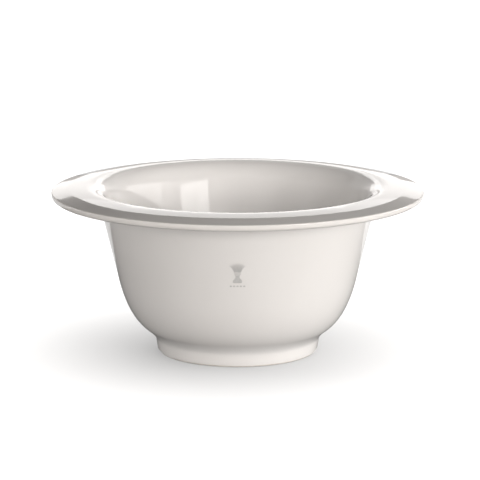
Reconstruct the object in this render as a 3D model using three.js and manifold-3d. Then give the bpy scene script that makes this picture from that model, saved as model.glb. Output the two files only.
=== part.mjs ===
// A free-standing porcelain shaving bowl with a wide, rolled-over rim, a low foot ring, a clear glossy
// glaze and a small printed brush mark on its front.
// Millimetres, +Z up. The origin is the centre of the foot's resting plane, and the front faces -Y.

import * as THREE from "three";
import { mergeVertices } from "three/addons/utils/BufferGeometryUtils.js";
import Module from "manifold-3d";

// Driving dimensions, all on the glazed surface unless a name says otherwise.
const rimRadius = 65;
const bowlHeight = 58.75;
const wallThickness = 3.2;
const wallFlare = 0.24; // how far the straight wall moves out for each millimetre it climbs
const wallFoot = new THREE.Vector2(41.93, 26.2); // where the belly turns into the straight wall

const crestRadius = 52.75; // the rim's highest circle
const mouthRollRadius = 8; // the wall rolls over to the crest on this radius
const crestBlend = 1.2; // from the crest to where the flange starts to fall
const creaseRadius = 59.1; // the flange's inner zone is nearly level, and its outer zone falls faster
const creaseRounding = 0.5;
const outerZoneFall = 11.2; // degrees
const rimEdgeDrop = 1.68; // from the crest to the top of the rim's edge
const rimEdgeThickness = 2.28;
const rimEdgeUpperRadius = 0.4;
const rimEdgeLowerRadius = 1.24;

const footRestRadius = 28.15;
const footTopRadius = 28.82;
const footTopHeight = 4.08;
const footWallThickness = 3.3;
const footWellDepth = 4.6; // of the hollow inside the foot ring
const footWellFillet = 1.2;
const footFilletRise = 1.64; // from the foot's top to the corner that its fillet rounds
const bellyStart = new THREE.Vector2(32.07, 8.1); // where the fillet above the foot ends
const bellyStartSlope = 0.7;
const bellyLowerReach = 5.8; // how long the belly's curve keeps its lower direction
const bellyUpperReach = 8.8; // and its upper one
const floorHeight = 8; // of the floor inside the bowl
const floorReach = 31; // how far out the floor's direction is kept
const innerWallReach = 13.5; // how far down the inner wall's direction is kept

const glazeThickness = 0.3;
const bareFootHeight = 0.7; // the glaze is wiped off below this height, so that the foot doesn't stick
const footEdgeRadius = 0.5;
const seamGap = 0.02; // hairline between neighbouring solids
const neckSeamHeight = 49; // where the wall ends and the rolled rim starts

const inkThickness = 0.08;
const markCentreHeight = 36.2;
const brushMarkHeight = 7.4;
const brushHandleShare = 0.45; // of the brush's height
const brushFootHalfWidth = 1.6;
const brushWaistHalfWidth = 0.6;
const brushCollarHalfWidth = 1.05;
const brushTuftHalfWidth = 2.9;
const brushCrownHeight = 0.8; // of the tuft's domed end
const underlineWidth = 5.6;
const underlineHeight = 0.5;
const underlineGap = 0.9; // between the brush and the line under it

const latheSegments = 48;

// ---- Outlines: half sections, x is the radius and y is the height ----

const wallUp = new THREE.Vector2(wallFlare, 1).normalize();
const wallOut = new THREE.Vector2(wallUp.y, -wallUp.x);
const rollCentre = new THREE.Vector2(crestRadius, bowlHeight - mouthRollRadius);

function along(point, direction, distance) {
  return point.clone().addScaledVector(direction, distance);
}

// An arc about a centre, between two directions given in degrees from +X.
function arc(centre, radius, fromDegrees, toDegrees, steps) {
  const from = THREE.MathUtils.degToRad(fromDegrees);
  const to = THREE.MathUtils.degToRad(toDegrees);
  return new THREE.EllipseCurve(centre.x, centre.y, radius, radius, from, to, to < from).getPoints(steps);
}

// Foot wall, the fillet above it, the belly and the straight wall, from the resting plane to the neck.
function outerWallOutline() {
  const footSlope = (footTopRadius - footRestRadius) / footTopHeight;
  const footTop = new THREE.Vector2(footTopRadius, footTopHeight);
  const filletCorner = along(footTop, new THREE.Vector2(footSlope, 1), footFilletRise);
  const fillet = new THREE.QuadraticBezierCurve(footTop, filletCorner, bellyStart);
  const bellyOut = new THREE.Vector2(1, bellyStartSlope).normalize();
  const belly = new THREE.CubicBezierCurve(
    bellyStart,
    along(bellyStart, bellyOut, bellyLowerReach),
    along(wallFoot, wallUp, -bellyUpperReach),
    wallFoot,
  );
  return [
    new THREE.Vector2(footRestRadius, 0),
    ...fillet.getPoints(2),
    ...belly.getPoints(7).slice(1),
  ];
}

// The concave underside of the neck, the rounded rim edge, and the flange over its crease to the crest.
function rimOutline() {
  const wallDirection = THREE.MathUtils.radToDeg(wallOut.angle()) - 360;
  const neckRadius = mouthRollRadius - wallThickness;
  const edgeTopHeight = bowlHeight - rimEdgeDrop;
  const upperCentre = new THREE.Vector2(rimRadius - rimEdgeUpperRadius, edgeTopHeight - rimEdgeUpperRadius);
  const lowerCentre = new THREE.Vector2(
    rimRadius - rimEdgeLowerRadius,
    edgeTopHeight - rimEdgeThickness + rimEdgeLowerRadius,
  );
  const edge = [
    ...arc(lowerCentre, rimEdgeLowerRadius, -90, 0, 4),
    ...arc(upperCentre, rimEdgeUpperRadius, 0, 90 - outerZoneFall, 2),
  ];
  const edgeTop = edge.at(-1);
  const crest = new THREE.Vector2(crestRadius, bowlHeight);
  const crestCorner = new THREE.Vector2(crestRadius + crestBlend, bowlHeight);
  const fall = Math.tan(THREE.MathUtils.degToRad(outerZoneFall));
  const crease = new THREE.Vector2(creaseRadius, edgeTop.y + (edgeTop.x - creaseRadius) * fall);
  const outward = edgeTop.clone().sub(crease).normalize();
  const inward = crestCorner.clone().sub(crease).normalize();
  const innerZone = new THREE.QuadraticBezierCurve(
    along(crease, inward, creaseRounding),
    crestCorner,
    crest,
  );
  return [
    ...arc(rollCentre, neckRadius, wallDirection + 180, 90, 3),
    ...edge,
    along(crease, outward, creaseRounding),
    ...innerZone.getPoints(2),
  ];
}

// The mouth's roll, the inner wall, and one curve over the inner belly to the middle of the floor.
function insideOutline() {
  const wallDirection = THREE.MathUtils.radToDeg(wallOut.angle()) - 360;
  const innerWallFoot = along(wallFoot, wallOut, -wallThickness);
  const floorCentre = new THREE.Vector2(0, floorHeight);
  const innerBelly = new THREE.CubicBezierCurve(
    innerWallFoot,
    along(innerWallFoot, wallUp, -innerWallReach),
    new THREE.Vector2(floorReach, floorHeight),
    floorCentre,
  );
  return [
    ...arc(rollCentre, mouthRollRadius, 90, wallDirection + 180, 5).slice(1),
    ...innerBelly.getPoints(8),
  ];
}

// The outline moved into the material by a distance. The material is on its left as it is followed.
function inset(outline, distance) {
  const normalOf = (from, to) => new THREE.Vector2(from.y - to.y, to.x - from.x).normalize();
  return outline.map((point, i) => {
    const before = i > 0 ? normalOf(outline[i - 1], point) : null;
    const after = i < outline.length - 1 ? normalOf(point, outline[i + 1]) : null;
    const normal = before && after ? before.clone().add(after).normalize() : (before ?? after).clone();
    const stretch = distance / normal.dot(before ?? after);
    return along(point, normal, stretch);
  });
}

// The part of a closed section between two heights.
function sectionBetween(section, low, high) {
  const clip = (points, inside, height) => points.flatMap((point, i) => {
    const previous = points[(i + points.length - 1) % points.length];
    const crossing = () => previous.clone().lerp(point, (height - previous.y) / (point.y - previous.y));
    const cut = inside(previous) !== inside(point) ? [crossing()] : [];
    return inside(point) ? [...cut, point] : cut;
  });
  return clip(clip(section, (p) => p.y >= low, low), (p) => p.y <= high, high);
}

// ---- Solids ----

// Revolves a closed section about +Z. A section on the axis starts and ends there.
function revolve(section) {
  const onAxis = section[0].x === 0 && section.at(-1).x === 0;
  const profile = onAxis ? section : [...section, section[0]];
  return new THREE.LatheGeometry(profile, latheSegments).rotateX(Math.PI / 2);
}

const glazedOutline = [...outerWallOutline(), ...rimOutline(), ...insideOutline()];

// The bare porcelain under the glaze, as one section from the foot to the middle of the floor.
function porcelainSection() {
  const skin = inset(glazedOutline, glazeThickness);
  skin[skin.length - 1].x = 0;
  const wellRadius = footRestRadius - footWallThickness + glazeThickness;
  const wellHeight = footWellDepth + glazeThickness;
  const edgeCentre = new THREE.Vector2(skin[0].x - footEdgeRadius, footEdgeRadius);
  return [
    new THREE.Vector2(0, wellHeight),
    new THREE.Vector2(wellRadius, wellHeight),
    new THREE.Vector2(wellRadius, footEdgeRadius),
    new THREE.Vector2(wellRadius + footEdgeRadius, 0),
    ...arc(edgeCentre, footEdgeRadius, -90, 0, 3),
    ...skin.slice(1),
  ];
}

// The glaze over the outside, the rim and the inside: one skin, open only at the wiped foot.
function glazeCoatSection() {
  const wiped = glazedOutline.map((point) => point.clone());
  wiped[0].lerp(wiped[1], bareFootHeight / footTopHeight);
  const against = inset(wiped, glazeThickness - seamGap);
  against[against.length - 1].x = 0;
  return [...against.reverse(), ...wiped];
}

// The glaze inside the foot ring, pooled into a fillet at the corner.
function footWellGlazeSection() {
  const radius = footRestRadius - footWallThickness;
  const coat = glazeThickness - seamGap;
  const filletCentre = new THREE.Vector2(radius - footWellFillet, footWellDepth - footWellFillet);
  return [
    new THREE.Vector2(0, footWellDepth),
    ...arc(filletCentre, footWellFillet, 90, 0, 3),
    new THREE.Vector2(radius, bareFootHeight),
    new THREE.Vector2(radius + coat, bareFootHeight),
    new THREE.Vector2(radius + coat, footWellDepth + coat),
    new THREE.Vector2(0, footWellDepth + coat),
  ];
}

// ---- The printed mark: a plain shaving brush standing on its handle, and a line under it ----

function brushShape() {
  const at = (x, y) => new THREE.Vector2(x, y);
  const collar = brushMarkHeight * brushHandleShare;
  const tuft = brushMarkHeight - collar;
  const handle = new THREE.CubicBezierCurve(
    at(brushFootHalfWidth, 0),
    at(brushFootHalfWidth, collar * 0.4),
    at(brushWaistHalfWidth, collar * 0.5),
    at(brushCollarHalfWidth, collar),
  );
  const bristles = new THREE.CubicBezierCurve(
    at(brushCollarHalfWidth, collar),
    at(brushCollarHalfWidth, collar + tuft * 0.4),
    at(brushTuftHalfWidth, collar + tuft * 0.6),
    at(brushTuftHalfWidth, brushMarkHeight - brushCrownHeight),
  );
  const crown = new THREE.QuadraticBezierCurve(
    bristles.v3,
    at(brushTuftHalfWidth * 0.6, brushMarkHeight),
    at(0, brushMarkHeight),
  );
  const right = [handle, bristles, crown].flatMap((curve) => curve.getPoints(5).slice(1));
  const left = right.slice(0, -1).reverse().map((point) => at(-point.x, point.y));
  return new THREE.Shape([handle.v0, ...right, ...left, at(-brushFootHalfWidth, 0)]);
}

function underlineShape() {
  const line = new THREE.Shape();
  line.moveTo(-underlineWidth / 2, 0);
  line.lineTo(underlineWidth / 2, 0);
  line.lineTo(underlineWidth / 2, underlineHeight);
  line.lineTo(-underlineWidth / 2, underlineHeight);
  return line;
}

const wasm = await Module();
wasm.setup();

function toSolid(geometry) {
  const bare = geometry.clone();
  bare.deleteAttribute("normal");
  bare.deleteAttribute("uv");
  const merged = mergeVertices(bare, 1e-4);
  return new wasm.Manifold(new wasm.Mesh({
    numProp: 3,
    vertProperties: new Float32Array(merged.attributes.position.array),
    triVerts: new Uint32Array(merged.index.array),
  }));
}

function toGeometry(solid) {
  const mesh = solid.getMesh();
  const geometry = new THREE.BufferGeometry();
  geometry.setAttribute("position", new THREE.BufferAttribute(new Float32Array(mesh.vertProperties), 3));
  geometry.setIndex(new THREE.BufferAttribute(new Uint32Array(mesh.triVerts), 1));
  geometry.computeVertexNormals();
  return geometry;
}

// A shape printed on the front of the straight wall, with its lower edge at a height.
function printedOnWall(shape, lowerEdge) {
  const wallAt = (height, proud) => along(wallFoot, wallUp, (height - wallFoot.y) / wallUp.y)
    .addScaledVector(wallOut, proud);
  const bandLow = lowerEdge - 2;
  const bandHigh = lowerEdge + brushMarkHeight + 2;
  const film = revolve([
    wallAt(bandLow, seamGap),
    wallAt(bandLow, seamGap + inkThickness),
    wallAt(bandHigh, seamGap + inkThickness),
    wallAt(bandHigh, seamGap),
  ]);
  const stamp = new THREE.ExtrudeGeometry(shape, { depth: rimRadius, bevelEnabled: false, curveSegments: 5 });
  stamp.rotateX(Math.PI / 2).translate(0, 0, lowerEdge);
  return toGeometry(toSolid(film).intersect(toSolid(stamp)));
}

// ---- Assembly ----

const porcelain = { color: 0xe9e6e0, roughness: 0.62, metalness: 0 };
const clearGlaze = { color: 0xf2f0ef, roughness: 0.08, metalness: 0 };
const greyEnamel = { color: 0xcbcbca, roughness: 0.35, metalness: 0 };

const bowl = new THREE.Group();

function add(name, geometry, finish) {
  const mesh = new THREE.Mesh(geometry, new THREE.MeshStandardMaterial(finish));
  mesh.name = name;
  bowl.add(mesh);
}

const section = porcelainSection();
const footSeamHeight = footWellDepth + glazeThickness;
const markFoot = markCentreHeight - (brushMarkHeight + underlineGap + underlineHeight) / 2;

add("foot_ring", revolve(sectionBetween(section, 0, footSeamHeight - seamGap)), porcelain);
add("bowl_wall", revolve(sectionBetween(section, footSeamHeight, neckSeamHeight - seamGap)), porcelain);
add("rim_flange", revolve(sectionBetween(section, neckSeamHeight, bowlHeight)), porcelain);
add("glaze_coat", revolve(glazeCoatSection()), clearGlaze);
add("foot_well_glaze", revolve(footWellGlazeSection()), clearGlaze);
add("printed_brush", printedOnWall(brushShape(), markFoot + underlineHeight + underlineGap), greyEnamel);
add("printed_underline", printedOnWall(underlineShape(), markFoot), greyEnamel);

export default bowl;
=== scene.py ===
"""Looks of a free-standing white glazed porcelain shaving bowl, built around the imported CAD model.

Every piece is revolved or printed from the same driving dimensions as the CAD model, on finer curves.
Outlines are half sections in millimetres: (radius, height). Objects are in metres, +Z up, front -Y.
"""

import math

import bmesh
import bpy
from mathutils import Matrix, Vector


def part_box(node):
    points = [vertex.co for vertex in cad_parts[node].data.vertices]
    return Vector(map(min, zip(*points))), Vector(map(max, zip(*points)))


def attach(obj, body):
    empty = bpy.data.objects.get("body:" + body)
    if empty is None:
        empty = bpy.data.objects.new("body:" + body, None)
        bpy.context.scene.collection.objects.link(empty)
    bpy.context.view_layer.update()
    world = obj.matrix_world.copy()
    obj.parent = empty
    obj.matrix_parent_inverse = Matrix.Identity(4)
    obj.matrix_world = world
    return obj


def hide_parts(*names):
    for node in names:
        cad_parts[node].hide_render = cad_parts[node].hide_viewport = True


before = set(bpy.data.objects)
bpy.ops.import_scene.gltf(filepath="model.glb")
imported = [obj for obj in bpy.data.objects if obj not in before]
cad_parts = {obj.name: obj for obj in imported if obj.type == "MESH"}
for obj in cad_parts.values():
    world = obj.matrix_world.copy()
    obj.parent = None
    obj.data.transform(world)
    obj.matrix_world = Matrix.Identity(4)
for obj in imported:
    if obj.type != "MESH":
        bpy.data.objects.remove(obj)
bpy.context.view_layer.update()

MM = 0.001
SEGMENTS = 192
ON_AXIS = 1e-9

# ---- Driving dimensions, in millimetres on the glazed surface ----

_, coat_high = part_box("glaze_coat")
RIM_RADIUS = coat_high.x / MM
BOWL_HEIGHT = coat_high.z / MM
WALL_THICKNESS = 3.2
WALL_FLARE = 0.24
WALL_FOOT = Vector((41.93, 26.2))

CREST_RADIUS = 52.75
MOUTH_ROLL_RADIUS = 8.0
CREST_BLEND = 1.2
CREASE_RADIUS = 59.1
CREASE_ROUNDING = 0.5
OUTER_ZONE_FALL = math.radians(11.2)
RIM_EDGE_DROP = 1.68
RIM_EDGE_THICKNESS = 2.28
RIM_EDGE_UPPER_RADIUS = 0.4
RIM_EDGE_LOWER_RADIUS = 1.24

FOOT_REST_RADIUS = 28.15
FOOT_TOP = Vector((28.82, 4.08))
FOOT_WALL_THICKNESS = 3.3
FOOT_WELL_DEPTH = 4.6
FOOT_WELL_FILLET = 1.2
FOOT_FILLET_RISE = 1.64
FOOT_EDGE_RADIUS = 0.5
BELLY_START = Vector((32.07, 8.1))
BELLY_START_SLOPE = 0.7
BELLY_LOWER_REACH = 5.8
BELLY_UPPER_REACH = 8.8
FLOOR_HEIGHT = 8.0
FLOOR_REACH = 31.0
INNER_WALL_REACH = 13.5

GLAZE_THICKNESS = 0.3
BARE_FOOT_HEIGHT = 0.7
SEAM_GAP = 0.02
NECK_SEAM_HEIGHT = 49.0
FOOT_SEAM_HEIGHT = FOOT_WELL_DEPTH + GLAZE_THICKNESS

WALL_UP = Vector((WALL_FLARE, 1.0)).normalized()
WALL_OUT = Vector((WALL_UP.y, -WALL_UP.x))
WALL_ANGLE = math.atan2(WALL_OUT.y, WALL_OUT.x)
ROLL_CENTRE = Vector((CREST_RADIUS, BOWL_HEIGHT - MOUTH_ROLL_RADIUS))


# ---- Outlines ----

def arc(centre, radius, start, end, steps):
    """Points on an arc, both ends included."""
    angles = [start + (end - start) * i / steps for i in range(steps + 1)]
    return [centre + radius * Vector((math.cos(a), math.sin(a))) for a in angles]


def bezier(points, steps):
    """A Bezier curve of any degree, by repeated interpolation."""
    curve = []
    for i in range(steps + 1):
        level = list(points)
        while len(level) > 1:
            level = [a.lerp(b, i / steps) for a, b in zip(level, level[1:])]
        curve.append(level[0])
    return curve


def line(start, end, steps):
    """Points between two ends, without the ends."""
    return [start.lerp(end, i / steps) for i in range(1, steps)]


def outer_wall_outline():
    """Foot wall, the fillet above it, the belly and the straight wall, up to the neck."""
    foot_slope = (FOOT_TOP.x - FOOT_REST_RADIUS) / FOOT_TOP.y
    fillet_corner = FOOT_TOP + FOOT_FILLET_RISE * Vector((foot_slope, 1.0))
    belly_out = Vector((1.0, BELLY_START_SLOPE)).normalized()
    rest = Vector((FOOT_REST_RADIUS, 0.0))
    neck_start = ROLL_CENTRE - (MOUTH_ROLL_RADIUS - WALL_THICKNESS) * WALL_OUT
    belly = [
        BELLY_START,
        BELLY_START + BELLY_LOWER_REACH * belly_out,
        WALL_FOOT - BELLY_UPPER_REACH * WALL_UP,
        WALL_FOOT,
    ]
    return [
        rest,
        *line(rest, FOOT_TOP, 4),
        *bezier([FOOT_TOP, fillet_corner, BELLY_START], 8),
        *bezier(belly, 24)[1:],
        *line(WALL_FOOT, neck_start, 10),
    ]


def rim_outline():
    """The underside of the neck, the rim's rounded edge, and the flange over its crease to the crest."""
    neck_radius = MOUTH_ROLL_RADIUS - WALL_THICKNESS
    neck = arc(ROLL_CENTRE, neck_radius, WALL_ANGLE + math.pi, math.pi / 2, 9)
    edge_top = BOWL_HEIGHT - RIM_EDGE_DROP
    edge_foot = edge_top - RIM_EDGE_THICKNESS
    lower_centre = Vector((RIM_RADIUS - RIM_EDGE_LOWER_RADIUS, edge_foot + RIM_EDGE_LOWER_RADIUS))
    upper_centre = Vector((RIM_RADIUS - RIM_EDGE_UPPER_RADIUS, edge_top - RIM_EDGE_UPPER_RADIUS))
    edge = [
        *arc(lower_centre, RIM_EDGE_LOWER_RADIUS, -math.pi / 2, 0.0, 10),
        *arc(upper_centre, RIM_EDGE_UPPER_RADIUS, 0.0, math.pi / 2 - OUTER_ZONE_FALL, 8),
    ]
    crest = Vector((CREST_RADIUS, BOWL_HEIGHT))
    crest_corner = Vector((CREST_RADIUS + CREST_BLEND, BOWL_HEIGHT))
    rise = (edge[-1].x - CREASE_RADIUS) * math.tan(OUTER_ZONE_FALL)
    crease = Vector((CREASE_RADIUS, edge[-1].y + rise))
    crease_out = crease + CREASE_ROUNDING * (edge[-1] - crease).normalized()
    crease_in = crease + CREASE_ROUNDING * (crest_corner - crease).normalized()
    return [
        *neck,
        *line(neck[-1], edge[0], 8),
        *edge,
        *line(edge[-1], crease_out, 6),
        *bezier([crease_out, crease, crease_in], 5),
        *bezier([crease_in, crest_corner, crest], 12)[1:],
    ]


def inside_outline():
    """The mouth's roll, the inner wall, and one curve over the inner belly to the middle of the floor."""
    inner_wall_foot = WALL_FOOT - WALL_THICKNESS * WALL_OUT
    roll = arc(ROLL_CENTRE, MOUTH_ROLL_RADIUS, math.pi / 2, WALL_ANGLE + math.pi, 18)
    belly = [
        inner_wall_foot,
        inner_wall_foot - INNER_WALL_REACH * WALL_UP,
        Vector((FLOOR_REACH, FLOOR_HEIGHT)),
        Vector((0.0, FLOOR_HEIGHT)),
    ]
    return [*roll[1:], *line(roll[-1], inner_wall_foot, 8), *bezier(belly, 40)]


def inset(outline, distance):
    """The outline moved into the material, which is on its left."""
    def normal(a, b):
        return Vector((a.y - b.y, b.x - a.x)).normalized()

    moved = []
    for i, point in enumerate(outline):
        before = normal(outline[i - 1], point) if i else None
        after = normal(point, outline[i + 1]) if i + 1 < len(outline) else None
        middle = (before + after).normalized() if before and after else (before or after)
        moved.append(point + middle * (distance / middle.dot(before or after)))
    return moved


def section_between(section, low, high):
    """The part of a closed section between two heights."""
    def clip(points, inside, height):
        kept = []
        for i, point in enumerate(points):
            previous = points[i - 1]
            if inside(previous) != inside(point):
                kept.append(previous.lerp(point, (height - previous.y) / (point.y - previous.y)))
            if inside(point):
                kept.append(point)
        return kept

    return clip(clip(section, lambda p: p.y >= low, low), lambda p: p.y <= high, high)


GLAZED_OUTLINE = [*outer_wall_outline(), *rim_outline(), *inside_outline()]


def porcelain_section():
    """The bare porcelain under the glaze, from the foot to the middle of the floor."""
    skin = inset(GLAZED_OUTLINE, GLAZE_THICKNESS)
    skin[-1].x = 0.0
    well_radius = FOOT_REST_RADIUS - FOOT_WALL_THICKNESS + GLAZE_THICKNESS
    well_height = FOOT_WELL_DEPTH + GLAZE_THICKNESS
    inner_edge = Vector((well_radius + FOOT_EDGE_RADIUS, FOOT_EDGE_RADIUS))
    outer_edge = Vector((skin[0].x - FOOT_EDGE_RADIUS, FOOT_EDGE_RADIUS))
    return [
        Vector((0.0, well_height)),
        Vector((well_radius, well_height)),
        *arc(inner_edge, FOOT_EDGE_RADIUS, math.pi, math.pi * 1.5, 6),
        *arc(outer_edge, FOOT_EDGE_RADIUS, -math.pi / 2, 0.0, 6),
        *skin[1:],
    ]


def glaze_coat_section():
    """The glaze over the outside, the rim and the inside: one skin, open only at the wiped foot."""
    wiped = [point.copy() for point in GLAZED_OUTLINE]
    wiped[0] = wiped[0].lerp(FOOT_TOP, BARE_FOOT_HEIGHT / FOOT_TOP.y)
    against = inset(wiped, GLAZE_THICKNESS - SEAM_GAP)
    against[-1].x = 0.0
    return [*reversed(against), *wiped]


def foot_well_glaze_section():
    """The glaze inside the foot ring, pooled into a fillet at the corner."""
    radius = FOOT_REST_RADIUS - FOOT_WALL_THICKNESS
    coat = GLAZE_THICKNESS - SEAM_GAP
    fillet_centre = Vector((radius - FOOT_WELL_FILLET, FOOT_WELL_DEPTH - FOOT_WELL_FILLET))
    return [
        Vector((0.0, FOOT_WELL_DEPTH)),
        *arc(fillet_centre, FOOT_WELL_FILLET, math.pi / 2, 0.0, 10),
        Vector((radius, BARE_FOOT_HEIGHT)),
        Vector((radius + coat, BARE_FOOT_HEIGHT)),
        Vector((radius + coat, FOOT_WELL_DEPTH + coat)),
        Vector((0.0, FOOT_WELL_DEPTH + coat)),
    ]


# ---- Mesh pieces ----

SHARP_ANGLE = math.radians(35.0)


def link_mesh(name, bm):
    mesh = bpy.data.meshes.new(name)
    bm.to_mesh(mesh)
    bm.free()
    thing = bpy.data.objects.new(name, mesh)
    bpy.context.scene.collection.objects.link(thing)
    return thing


def make_piece(name, bm):
    """Turns a bmesh into an object that is smooth except at its sharp edges."""
    bmesh.ops.recalc_face_normals(bm, faces=bm.faces)
    for face in bm.faces:
        face.smooth = True
    for edge in bm.edges:
        edge.smooth = edge.calc_face_angle(0.0) < SHARP_ANGLE
    return link_mesh(name, bm)


def revolve(name, section):
    """Revolves a closed section about +Z. Points on the axis become poles."""
    bm = bmesh.new()
    rings = []
    for point in section:
        if abs(point.x) < ON_AXIS:
            rings.append([bm.verts.new((0.0, 0.0, point.y * MM))])
            continue
        ring = []
        for j in range(SEGMENTS):
            turn = 2 * math.pi * j / SEGMENTS
            x, y = point.x * math.cos(turn), point.x * math.sin(turn)
            ring.append(bm.verts.new((x * MM, y * MM, point.y * MM)))
        rings.append(ring)
    for lower, upper in zip(rings, rings[1:] + rings[:1]):
        if len(lower) == 1 and len(upper) == 1:
            continue
        for j in range(SEGMENTS):
            k = (j + 1) % SEGMENTS
            corners = [
                lower[j % len(lower)],
                lower[k % len(lower)],
                upper[k % len(upper)],
                upper[j % len(upper)],
            ]
            bm.faces.new(list(dict.fromkeys(corners)))
    return make_piece(name, bm)


def on_wall(across, height, proud):
    """A point on the front of the straight wall: millimetres across, height and distance off the glaze."""
    radius = WALL_FOOT.x + WALL_FLARE * (height - WALL_FOOT.y) + proud * WALL_OUT.x
    turn = math.asin(across / radius)
    z = height + proud * WALL_OUT.y
    return Vector((radius * math.sin(turn), -radius * math.cos(turn), z)) * MM


# ---- Printed mark, in millimetres over the wall's surface ----

INK_LOW = 0.02
INK_HIGH = 0.1

# A pair is a share of the brush's height and the half width there.
HANDLE_PROFILE = [
    (0.00, 1.22), (0.02, 1.46), (0.06, 1.58), (0.12, 1.50), (0.18, 1.14), (0.24, 0.78),
    (0.29, 0.64), (0.34, 0.70), (0.385, 0.92),
]
FERRULE_PROFILE = [(0.42, 1.06), (0.445, 1.1), (0.47, 1.14)]

BRISTLES = 9
BRISTLE_WIDTH = 0.3
BRISTLE_ROOT_SHARE = 0.51
BRISTLE_BEND_SHARE = 0.74
BRISTLE_ROOT_REACH = 1.0
BRISTLE_BEND_REACH = 1.35
BRISTLE_TIP_GAP = 0.12
BRISTLE_CROWN_DROP = 1.0

STROKE_STEPS = 14
STROKE_START_PHASE = 0.12
STROKE_START_RATE = 3.0
STROKE_TIP_WIDTH = 0.16
STROKE_TIP_RATE = 3.2

DASHES = 5
DASH_HALF_SHARE = 0.34
DASH_STEPS = 10
DASH_ROUNDED_STEPS = 3
DASH_END_WIDTH = 0.3


def ribbon(bm, path, half_widths, columns):
    """A closed film of ink along a path of (across, height) points."""
    grid = []
    for i, point in enumerate(path):
        direction = (path[min(i + 1, len(path) - 1)] - path[max(i - 1, 0)]).normalized()
        side = Vector((direction.y, -direction.x))
        grid.append([
            point + side * half_widths[i] * (2 * c / columns - 1) for c in range(columns + 1)
        ])
    top = [[bm.verts.new(on_wall(p.x, p.y, INK_HIGH)) for p in row] for row in grid]
    low = [[bm.verts.new(on_wall(p.x, p.y, INK_LOW)) for p in row] for row in grid]
    last = len(grid) - 1
    for i in range(last):
        for c in range(columns):
            bm.faces.new((top[i][c], top[i][c + 1], top[i + 1][c + 1], top[i + 1][c]))
            bm.faces.new((low[i][c], low[i + 1][c], low[i + 1][c + 1], low[i][c + 1]))
        for c in (0, columns):
            bm.faces.new((top[i][c], top[i + 1][c], low[i + 1][c], low[i][c]))
    for i in (0, last):
        for c in range(columns):
            bm.faces.new((top[i][c], top[i][c + 1], low[i][c + 1], low[i][c]))


def stroke(bm, start, bend, end, width):
    """A stroke with a rounded start and a pointed end."""
    half_widths = []
    for i in range(STROKE_STEPS + 1):
        start_width = math.sin(math.pi * min(0.5, STROKE_START_PHASE + STROKE_START_RATE * i / STROKE_STEPS))
        tip_width = min(1.0, STROKE_TIP_WIDTH + STROKE_TIP_RATE * (1 - i / STROKE_STEPS))
        half_widths.append(0.5 * width * start_width * tip_width)
    ribbon(bm, bezier([Vector(start), Vector(bend), Vector(end)], STROKE_STEPS), half_widths, columns=2)


def printed_brush():
    """A plain shaving brush in line work: a turned handle, a ferrule and a fan of bristles."""
    low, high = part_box("printed_brush")
    foot, top = low.z / MM, high.z / MM
    reach = high.x / MM - BRISTLE_WIDTH / 2
    tall = top - foot
    bm = bmesh.new()
    for profile, columns in ((HANDLE_PROFILE, 8), (FERRULE_PROFILE, 6)):
        path = [Vector((0.0, foot + share * tall)) for share, _ in profile]
        ribbon(bm, path, [half_width for _, half_width in profile], columns)
    for i in range(BRISTLES):
        spread = 2 * i / (BRISTLES - 1) - 1
        stroke(
            bm,
            start=(BRISTLE_ROOT_REACH * spread, foot + BRISTLE_ROOT_SHARE * tall),
            bend=(BRISTLE_BEND_REACH * spread, foot + BRISTLE_BEND_SHARE * tall),
            end=(reach * spread, top - BRISTLE_TIP_GAP - BRISTLE_CROWN_DROP * spread * spread),
            width=BRISTLE_WIDTH,
        )
    return make_piece("brush_mark_ink", bm)


def printed_underline():
    """The line under the brush, broken into short dashes with rounded ends."""
    low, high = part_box("printed_underline")
    height = (low.z + high.z) / 2 / MM
    half_width = (high.z - low.z) / 2 / MM
    reach = high.x / MM
    pitch = 2 * reach / DASHES
    half_widths = []
    for k in range(DASH_STEPS + 1):
        from_end = min(1.0, min(k, DASH_STEPS - k) / DASH_ROUNDED_STEPS)
        rounding = DASH_END_WIDTH + (1 - DASH_END_WIDTH) * math.sin(math.pi / 2 * from_end)
        half_widths.append(half_width * rounding)
    bm = bmesh.new()
    for i in range(DASHES):
        middle = -reach + (i + 0.5) * pitch
        offsets = [DASH_HALF_SHARE * pitch * (2 * k / DASH_STEPS - 1) for k in range(DASH_STEPS + 1)]
        ribbon(bm, [Vector((middle + offset, height)) for offset in offsets], half_widths, columns=2)
    return make_piece("underline_mark_ink", bm)


# ---- Materials. Places in them are in metres ----

GLAZE_TONES = (0.888, 0.877, 0.86, 1.0), (0.9, 0.891, 0.876, 1.0)
GLAZE_IOR = 1.5
EDGE_TINT = (0.85, 0.815, 0.765, 1.0)
EDGE_TINT_SHARE = 0.35
EDGE_TINT_RADII = (RIM_RADIUS - 1.0) * MM, (RIM_RADIUS + 0.2) * MM
POOL_TINT = (0.84, 0.845, 0.85, 1.0)
POOL_TINT_SHARE = 0.3
POOL_STARTS = 0.0035, 0.0058
POOL_ENDS = 0.0092, 0.0062
SPECK_TINT = (0.42, 0.36, 0.30, 1.0)
SPECK_TINT_SHARE = 0.5
SPECK_EDGE = 0.034, 0.022
SPECK_RARITY = 0.64, 0.68

PORCELAIN_TONES = (0.77, 0.735, 0.68, 1.0), (0.82, 0.79, 0.745, 1.0)
RUB_TINT = (0.52, 0.49, 0.45, 1.0)
RUB_TINT_SHARE = 0.55
RUB_HEIGHTS = 0.0003, 0.0
TURNING_LINES = 24000.0

ENAMEL_TONES = (0.57, 0.57, 0.56, 1.0), (0.63, 0.63, 0.62, 1.0)

CLOUD_RANGE = 0.3, 0.7


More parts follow.
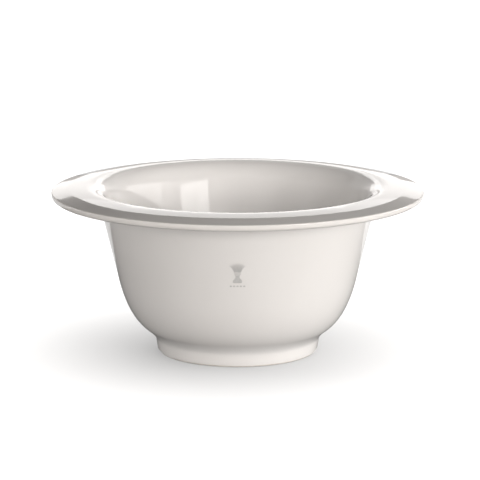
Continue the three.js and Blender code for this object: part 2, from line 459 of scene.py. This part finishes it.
class Nodes:
    """Short names for the nodes of a material or a world."""

    def __init__(self, owner):
        self.tree = owner.node_tree

    def add(self, kind, inputs=None, **settings):
        node = self.tree.nodes.new(kind)
        for key, value in settings.items():
            setattr(node, key, value)
        for key, value in (inputs or {}).items():
            self.set(node.inputs[key], value)
        return node

    def set(self, socket, value):
        if isinstance(value, bpy.types.NodeSocket):
            self.tree.links.new(value, socket)
        else:
            socket.default_value = value

    def place(self):
        return self.add("ShaderNodeTexCoord").outputs["Object"]

    def noise(self, vector, scale, detail, roughness=0.5):
        inputs = {"Vector": vector, "Scale": scale, "Detail": detail, "Roughness": roughness}
        return self.add("ShaderNodeTexNoise", inputs).outputs["Fac"]

    def math(self, operation, a, b=0.0):
        return self.add("ShaderNodeMath", {0: a, 1: b}, operation=operation).outputs[0]

    def band(self, value, low, high, to_low=0.0, to_high=1.0):
        """A smooth step from to_low to to_high, as the value goes from low to high."""
        inputs = {"Value": value, "From Min": low, "From Max": high, "To Min": to_low, "To Max": to_high}
        node = self.add("ShaderNodeMapRange", inputs, interpolation_type="SMOOTHSTEP")
        return node.outputs["Result"]

    def mix(self, factor, a, b):
        node = self.add("ShaderNodeMix", data_type="RGBA")
        self.set(node.inputs[0], factor)
        self.set(node.inputs[6], a)
        self.set(node.inputs[7], b)
        return node.outputs[2]

    def tint(self, tone, where, share, colour):
        """The tone, moved a share of the way to a colour where a mask is full."""
        return self.mix(self.math("MULTIPLY", where, share), tone, colour)

    def bump(self, height, distance, strength, normal=None):
        inputs = {"Height": height, "Distance": distance, "Strength": strength}
        if normal is not None:
            inputs["Normal"] = normal
        return self.add("ShaderNodeBump", inputs).outputs["Normal"]

    def radius_and_height(self, place):
        parts = self.add("ShaderNodeSeparateXYZ", {0: place}).outputs
        flat = self.add("ShaderNodeCombineXYZ", {0: parts[0], 1: parts[1], 2: 0.0}).outputs[0]
        radius = self.add("ShaderNodeVectorMath", {0: flat}, operation="LENGTH").outputs["Value"]
        return radius, parts[2]

    def facing(self, direction, towards):
        """The cosine of the angle between two directions."""
        node = self.add("ShaderNodeVectorMath", {0: direction, 1: towards}, operation="DOT_PRODUCT")
        return node.outputs["Value"]


def empty_material(name):
    material = bpy.data.materials.new(name)
    material.use_nodes = True
    material.node_tree.nodes.clear()
    return material, Nodes(material)


def new_finish(name):
    """A material with one Principled shader."""
    material, n = empty_material(name)
    shader = n.add("ShaderNodeBsdfPrincipled")
    n.add("ShaderNodeOutputMaterial", {"Surface": shader.outputs[0]})
    return material, n, shader


def glaze_material():
    """Clear gloss over white porcelain: warm on the rim's edge, cooler where it pools, with rare specks."""
    material, n, shader = new_finish("clear_glaze")
    place = n.place()
    radius, height = n.radius_and_height(place)
    tone = n.mix(n.band(n.noise(place, scale=38.0, detail=3.0), *CLOUD_RANGE), *GLAZE_TONES)
    tone = n.tint(tone, n.band(radius, *EDGE_TINT_RADII), EDGE_TINT_SHARE, EDGE_TINT)
    pool = n.math("MULTIPLY", n.band(height, *POOL_STARTS), n.band(height, *POOL_ENDS))
    tone = n.tint(tone, pool, POOL_TINT_SHARE, POOL_TINT)
    cells = n.add("ShaderNodeTexVoronoi", {"Vector": place, "Scale": 150.0, "Randomness": 1.0})
    near_centre = n.band(cells.outputs["Distance"], *SPECK_EDGE)
    chosen = n.band(n.noise(place, scale=95.0, detail=0.0), *SPECK_RARITY)
    tone = n.tint(tone, n.math("MULTIPLY", near_centre, chosen), SPECK_TINT_SHARE, SPECK_TINT)
    n.set(shader.inputs["Base Color"], tone)
    smears = n.noise(place, scale=210.0, detail=4.0)
    n.set(shader.inputs["Roughness"], n.band(smears, 0.35, 0.75, to_low=0.035, to_high=0.075))
    shader.inputs["IOR"].default_value = GLAZE_IOR
    rolling = n.bump(n.noise(place, scale=60.0, detail=1.0), distance=0.00004, strength=0.6)
    peel = n.noise(place, scale=520.0, detail=2.0)
    n.set(shader.inputs["Normal"], n.bump(peel, distance=0.000003, strength=0.5, normal=rolling))
    return material


def porcelain_material():
    """Unglazed, ground porcelain: matt, warm, with fine turning lines, and rubbed grey where it stands."""
    material, n, shader = new_finish("bare_porcelain")
    place = n.place()
    radius, height = n.radius_and_height(place)
    grain = n.noise(place, scale=2600.0, detail=4.0, roughness=0.65)
    tone = n.mix(n.band(n.noise(place, scale=160.0, detail=3.0), *CLOUD_RANGE), *PORCELAIN_TONES)
    patches = n.band(n.noise(place, scale=420.0, detail=3.0), 0.45, 0.65)
    rub = n.math("MULTIPLY", n.band(height, *RUB_HEIGHTS), patches)
    n.set(shader.inputs["Base Color"], n.tint(tone, rub, RUB_TINT_SHARE, RUB_TINT))
    n.set(shader.inputs["Roughness"], n.band(grain, 0.3, 0.7, to_low=0.55, to_high=0.72))
    rings = n.math("SINE", n.math("MULTIPLY", radius, TURNING_LINES))
    turned = n.bump(rings, distance=0.000012, strength=0.5)
    n.set(shader.inputs["Normal"], n.bump(grain, distance=0.00002, strength=0.6, normal=turned))
    return material


def enamel_material():
    """Pale grey enamel, slightly mottled."""
    material, n, shader = new_finish("grey_enamel")
    mottle = n.noise(n.place(), scale=1900.0, detail=3.0, roughness=0.6)
    n.set(shader.inputs["Base Color"], n.mix(n.band(mottle, *CLOUD_RANGE), *ENAMEL_TONES))
    n.set(shader.inputs["Roughness"], n.band(mottle, 0.3, 0.7, to_low=0.28, to_high=0.42))
    n.set(shader.inputs["Normal"], n.bump(mottle, distance=0.00001, strength=0.4))
    return material


SLOTS = {
    "bare_porcelain": porcelain_material(),
    "clear_glaze": glaze_material(),
    "grey_enamel": enamel_material(),
}


# ---- Pieces ----

def finish_piece(piece, slot, node):
    piece.data.materials.append(SLOTS[slot])
    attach(piece, "root")
    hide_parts(node)


PORCELAIN = porcelain_section()

foot = revolve("foot_ring_body", section_between(PORCELAIN, 0.0, FOOT_SEAM_HEIGHT - SEAM_GAP))
wall = revolve("bowl_wall_body", section_between(PORCELAIN, FOOT_SEAM_HEIGHT, NECK_SEAM_HEIGHT - SEAM_GAP))
rim = revolve("rim_flange_body", section_between(PORCELAIN, NECK_SEAM_HEIGHT, BOWL_HEIGHT))
finish_piece(foot, "bare_porcelain", "foot_ring")
finish_piece(wall, "bare_porcelain", "bowl_wall")
finish_piece(rim, "bare_porcelain", "rim_flange")
finish_piece(revolve("glaze_skin", glaze_coat_section()), "clear_glaze", "glaze_coat")
finish_piece(revolve("foot_well_glaze_skin", foot_well_glaze_section()), "clear_glaze", "foot_well_glaze")
finish_piece(printed_brush(), "grey_enamel", "printed_brush")
finish_piece(printed_underline(), "grey_enamel", "printed_underline")


# ---- Stage: floors and backdrop, in metres. Paint and glow are grey levels from 0 to 1 ----

DISC_SEGMENTS = 96

SEEN_FLOOR_RADIUS = 4.0
SEEN_FLOOR_HEIGHT = -0.00002
SEEN_FLOOR_PAINT = 0.2
SEEN_FLOOR_GLOW = 0.3

BOUNCE_FLOOR_RADIUS = 5.0
BOUNCE_FLOOR_HEIGHT = -0.00032
BOUNCE_FLOOR_PAINT = 0.25
BOUNCE_FLOOR_GLOW = 0.03

FAR_SWEEP_RADIUS = 1.5
FAR_SWEEP_HEIGHT = -0.00022
FAR_SWEEP_BEHIND = 1.6
FAR_SWEEP_GLOW = 0.9

BACKDROP_RADIUS = 4.0
BACKDROP_GLOW = 1.0


def glowing_paint(name, paint_level, glow_level):
    """Matt grey paint with a little even light of its own."""
    material, n = empty_material(name)
    glow = n.add("ShaderNodeEmission", {"Color": (1.0, 1.0, 1.0, 1.0), "Strength": glow_level})
    paint = n.add("ShaderNodeBsdfDiffuse", {"Color": (paint_level, paint_level, paint_level, 1.0)})
    both = n.add("ShaderNodeAddShader", {0: glow.outputs[0], 1: paint.outputs[0]})
    n.add("ShaderNodeOutputMaterial", {"Surface": both.outputs[0]})
    return material


def staged(name, bm, material):
    thing = link_mesh(name, bm)
    thing.data.materials.append(material)
    return thing


def stage_disc(name, radius, height, material):
    bm = bmesh.new()
    bmesh.ops.create_circle(bm, cap_ends=True, segments=DISC_SEGMENTS, radius=radius)
    for vert in bm.verts:
        vert.co.z = height
    return staged(name, bm, material)


def backdrop_sphere(name, radius, material):
    bm = bmesh.new()
    bmesh.ops.create_uvsphere(bm, u_segments=64, v_segments=32, radius=radius)
    return staged(name, bm, material)


def seen_by_camera_only(thing):
    thing.visible_diffuse = False
    thing.visible_glossy = False
    thing.visible_transmission = False
    thing.visible_volume_scatter = False
    thing.visible_shadow = False


def seen_in_reflections_only(thing):
    thing.visible_camera = False
    thing.visible_diffuse = False
    thing.visible_shadow = False


# The bowl is lit by light off one floor, and the camera sees another, which takes the bowl's shadow.
bounce_paint = glowing_paint("bounce", BOUNCE_FLOOR_PAINT, BOUNCE_FLOOR_GLOW)
bounce_floor = stage_disc("bounce_floor", BOUNCE_FLOOR_RADIUS, BOUNCE_FLOOR_HEIGHT, bounce_paint)
bounce_floor.visible_camera = False

seen_paint = glowing_paint("sweep", SEEN_FLOOR_PAINT, SEEN_FLOOR_GLOW)
seen_floor = stage_disc("studio_floor", SEEN_FLOOR_RADIUS, SEEN_FLOOR_HEIGHT, seen_paint)
seen_by_camera_only(seen_floor)

# A bright stretch of floor behind the bowl, which only mirrors in the glaze.
far_paint = glowing_paint("far_glow", 0.0, FAR_SWEEP_GLOW)
far_sweep = stage_disc("far_sweep", FAR_SWEEP_RADIUS, FAR_SWEEP_HEIGHT, far_paint)
far_sweep.location.y = FAR_SWEEP_BEHIND
seen_in_reflections_only(far_sweep)

backdrop_paint = glowing_paint("backdrop", 0.0, BACKDROP_GLOW)
seen_by_camera_only(backdrop_sphere("studio_backdrop", BACKDROP_RADIUS, backdrop_paint))


# ---- Lights. Azimuth 0 is in front of the bowl, 90 on the camera's right, and 180 behind it ----

CARD_COLOUR = (1.0, 0.98, 0.965)
FLOOR_BOX_COLOUR = (1.0, 0.985, 0.975)
FLOOR_BOX_PLACE = Vector((0.4, 0.2, 1.4))
FLOOR_BOX_SIZE = 6.0
FLOOR_BOX_RADIANCE = 6.5


def direction_to(azimuth, elevation=0.0):
    turn, rise = math.radians(azimuth), math.radians(elevation)
    return Vector((math.sin(turn) * math.cos(rise), -math.cos(turn) * math.cos(rise), math.sin(rise)))


def add_lamp(name, data, place, back):
    """Adds a light that the camera doesn't see. Its back faces the direction given."""
    lamp = bpy.data.objects.new(name, data)
    lamp.location = place
    lamp.rotation_euler = back.to_track_quat("Z", "Y").to_euler()
    lamp.visible_camera = False
    bpy.context.scene.collection.objects.link(lamp)
    return lamp


def card(name, azimuth, distance, across, up, radiance):
    """A soft upright light card that faces the bowl's axis.

    Across are its left and right edges, as seen facing the bowl, from the line to the axis. Up are its
    lower and upper edges above the floor.
    """
    towards = direction_to(azimuth)
    along = direction_to(azimuth + 90.0)
    (left, right), (bottom, top) = across, up
    width, tall = right - left, top - bottom
    data = bpy.data.lights.new(name, "AREA")
    data.shape = "RECTANGLE"
    data.size = width
    data.size_y = tall
    data.energy = radiance * math.pi * width * tall
    data.color = CARD_COLOUR
    middle = Vector((0.0, 0.0, (bottom + top) / 2))
    add_lamp(name, data, towards * distance + along * (left + right) / 2 + middle, towards)


def floor_box():
    """A soft round box above the floor, turned to the bowl, that lights the seen floor alone."""
    data = bpy.data.lights.new("floor_box", "AREA")
    data.shape = "DISK"
    data.size = FLOOR_BOX_SIZE
    data.energy = FLOOR_BOX_RADIANCE * math.pi * math.pi * FLOOR_BOX_SIZE * FLOOR_BOX_SIZE / 4
    data.color = FLOOR_BOX_COLOUR
    lamp = add_lamp("floor_box", data, FLOOR_BOX_PLACE, FLOOR_BOX_PLACE)
    receivers = bpy.data.collections.new("floor_box_lights")
    receivers.objects.link(seen_floor)
    lamp.light_linking.receiver_collection = receivers


# Front cards. The bright patch on the far wall mirrors the key card.
card("key_card", azimuth=20.0, distance=1.2, across=(0.177, 0.888), up=(0.001, 0.46), radiance=5.0)
card("left_card", azimuth=-45.0, distance=1.2, across=(-0.465, -0.105), up=(0.001, 0.278), radiance=0.9)
# Behind the bowl. At the front of the flange, the crest mirrors the strip, the inner zone mirrors the card,
# and the outer zone looks over both.
card("back_strip", azimuth=180.0, distance=1.6, across=(-0.45, 0.45), up=(0.15, 0.5), radiance=1.35)
card("back_card", azimuth=180.0, distance=1.6, across=(-0.28, 0.26), up=(0.5, 0.832), radiance=1.85)
# Close to the bowl: one just behind the far rim, and one over the mouth that faces the far wall.
card("rim_card", azimuth=180.0, distance=0.08, across=(-0.045, 0.045), up=(0.068, 0.1), radiance=0.6)
card("mouth_card", azimuth=0.0, distance=0.02, across=(-0.05, 0.05), up=(0.08, 0.11), radiance=0.75)
# Side lights. The kickers are low strips that end below the rim's height.
card("right_card", azimuth=100.0, distance=1.2, across=(-0.5, 0.5), up=(0.001, 0.5), radiance=2.0)
card("left_kicker", azimuth=-90.0, distance=0.5, across=(-0.3, 0.3), up=(0.03, 0.057), radiance=9.0)
card("right_kicker", azimuth=90.0, distance=0.5, across=(-0.3, 0.3), up=(0.03, 0.057), radiance=7.0)
floor_box()


# ---- Sky: soft light round the horizon, strongest at the front right, and a fill from the front ----

SKY_COLOUR = (1.04, 0.985, 0.945, 1.0)

# Azimuth in degrees, and the level of a soft light there.
LOW_LIGHTS = {0.0: 2.2, 45.0: 2.4, 90.0: 1.3, 180.0: 0.7, 270.0: 0.5, 315.0: 0.8}
LOW_HALF_WIDTH = math.radians(50.0)
LOW_FULL_BELOW = math.radians(10.0)
LOW_NONE_ABOVE = math.radians(26.0)

FILL_LEVEL = 0.42
FILL_ELEVATION = 45.0
FILL_FULL_WITHIN = math.radians(8.0)
FILL_NONE_BEYOND = math.radians(40.0)


def low_lights(n, direction):
    flat = n.add("ShaderNodeVectorMath", {0: direction, 1: (1.0, 1.0, 0.0)}, operation="MULTIPLY")
    level = n.add("ShaderNodeVectorMath", {0: flat.outputs[0]}, operation="NORMALIZE").outputs[0]
    rise = n.add("ShaderNodeSeparateXYZ", {0: direction}).outputs[2]
    low = n.band(rise, math.sin(LOW_NONE_ABOVE), math.sin(LOW_FULL_BELOW))
    around = None
    for azimuth, strength in LOW_LIGHTS.items():
        facing = n.facing(level, direction_to(azimuth))
        lobe = n.band(facing, math.cos(LOW_HALF_WIDTH), 1.0, to_high=strength)
        around = lobe if around is None else n.math("ADD", around, lobe)
    return n.math("MULTIPLY", low, around)


def front_fill(n, direction):
    facing = n.facing(direction, direction_to(0.0, FILL_ELEVATION))
    return n.band(facing, math.cos(FILL_NONE_BEYOND), math.cos(FILL_FULL_WITHIN), to_high=FILL_LEVEL)


def studio_world():
    world = bpy.data.worlds.new("studio")
    bpy.context.scene.world = world
    world.use_nodes = True
    n = Nodes(world)
    background = world.node_tree.nodes["Background"]
    direction = n.add("ShaderNodeTexCoord").outputs["Generated"]
    strength = n.math("ADD", low_lights(n, direction), front_fill(n, direction))
    n.set(background.inputs["Strength"], strength)
    background.inputs["Color"].default_value = SKY_COLOUR


studio_world()


# ---- Camera ----

CAMERA_DISTANCE = 0.840
CAMERA_ELEVATION = 11.62
CAMERA_SENSOR = 36.0
CAMERA_LENS = 179.2
CAMERA_NEAREST = 0.01
AIM = Vector((0.00084, 0.0, 0.03893))

camera_data = bpy.data.cameras.new("camera")
camera_data.sensor_width = CAMERA_SENSOR
camera_data.lens = CAMERA_LENS
camera_data.clip_start = CAMERA_NEAREST
camera = bpy.data.objects.new("camera", camera_data)
bpy.context.scene.collection.objects.link(camera)
back = direction_to(0.0, CAMERA_ELEVATION)
camera.location = AIM + CAMERA_DISTANCE * back
camera.rotation_euler = back.to_track_quat("Z", "Y").to_euler()
bpy.context.scene.camera = camera

bpy.context.scene.view_settings.view_transform = "Standard"
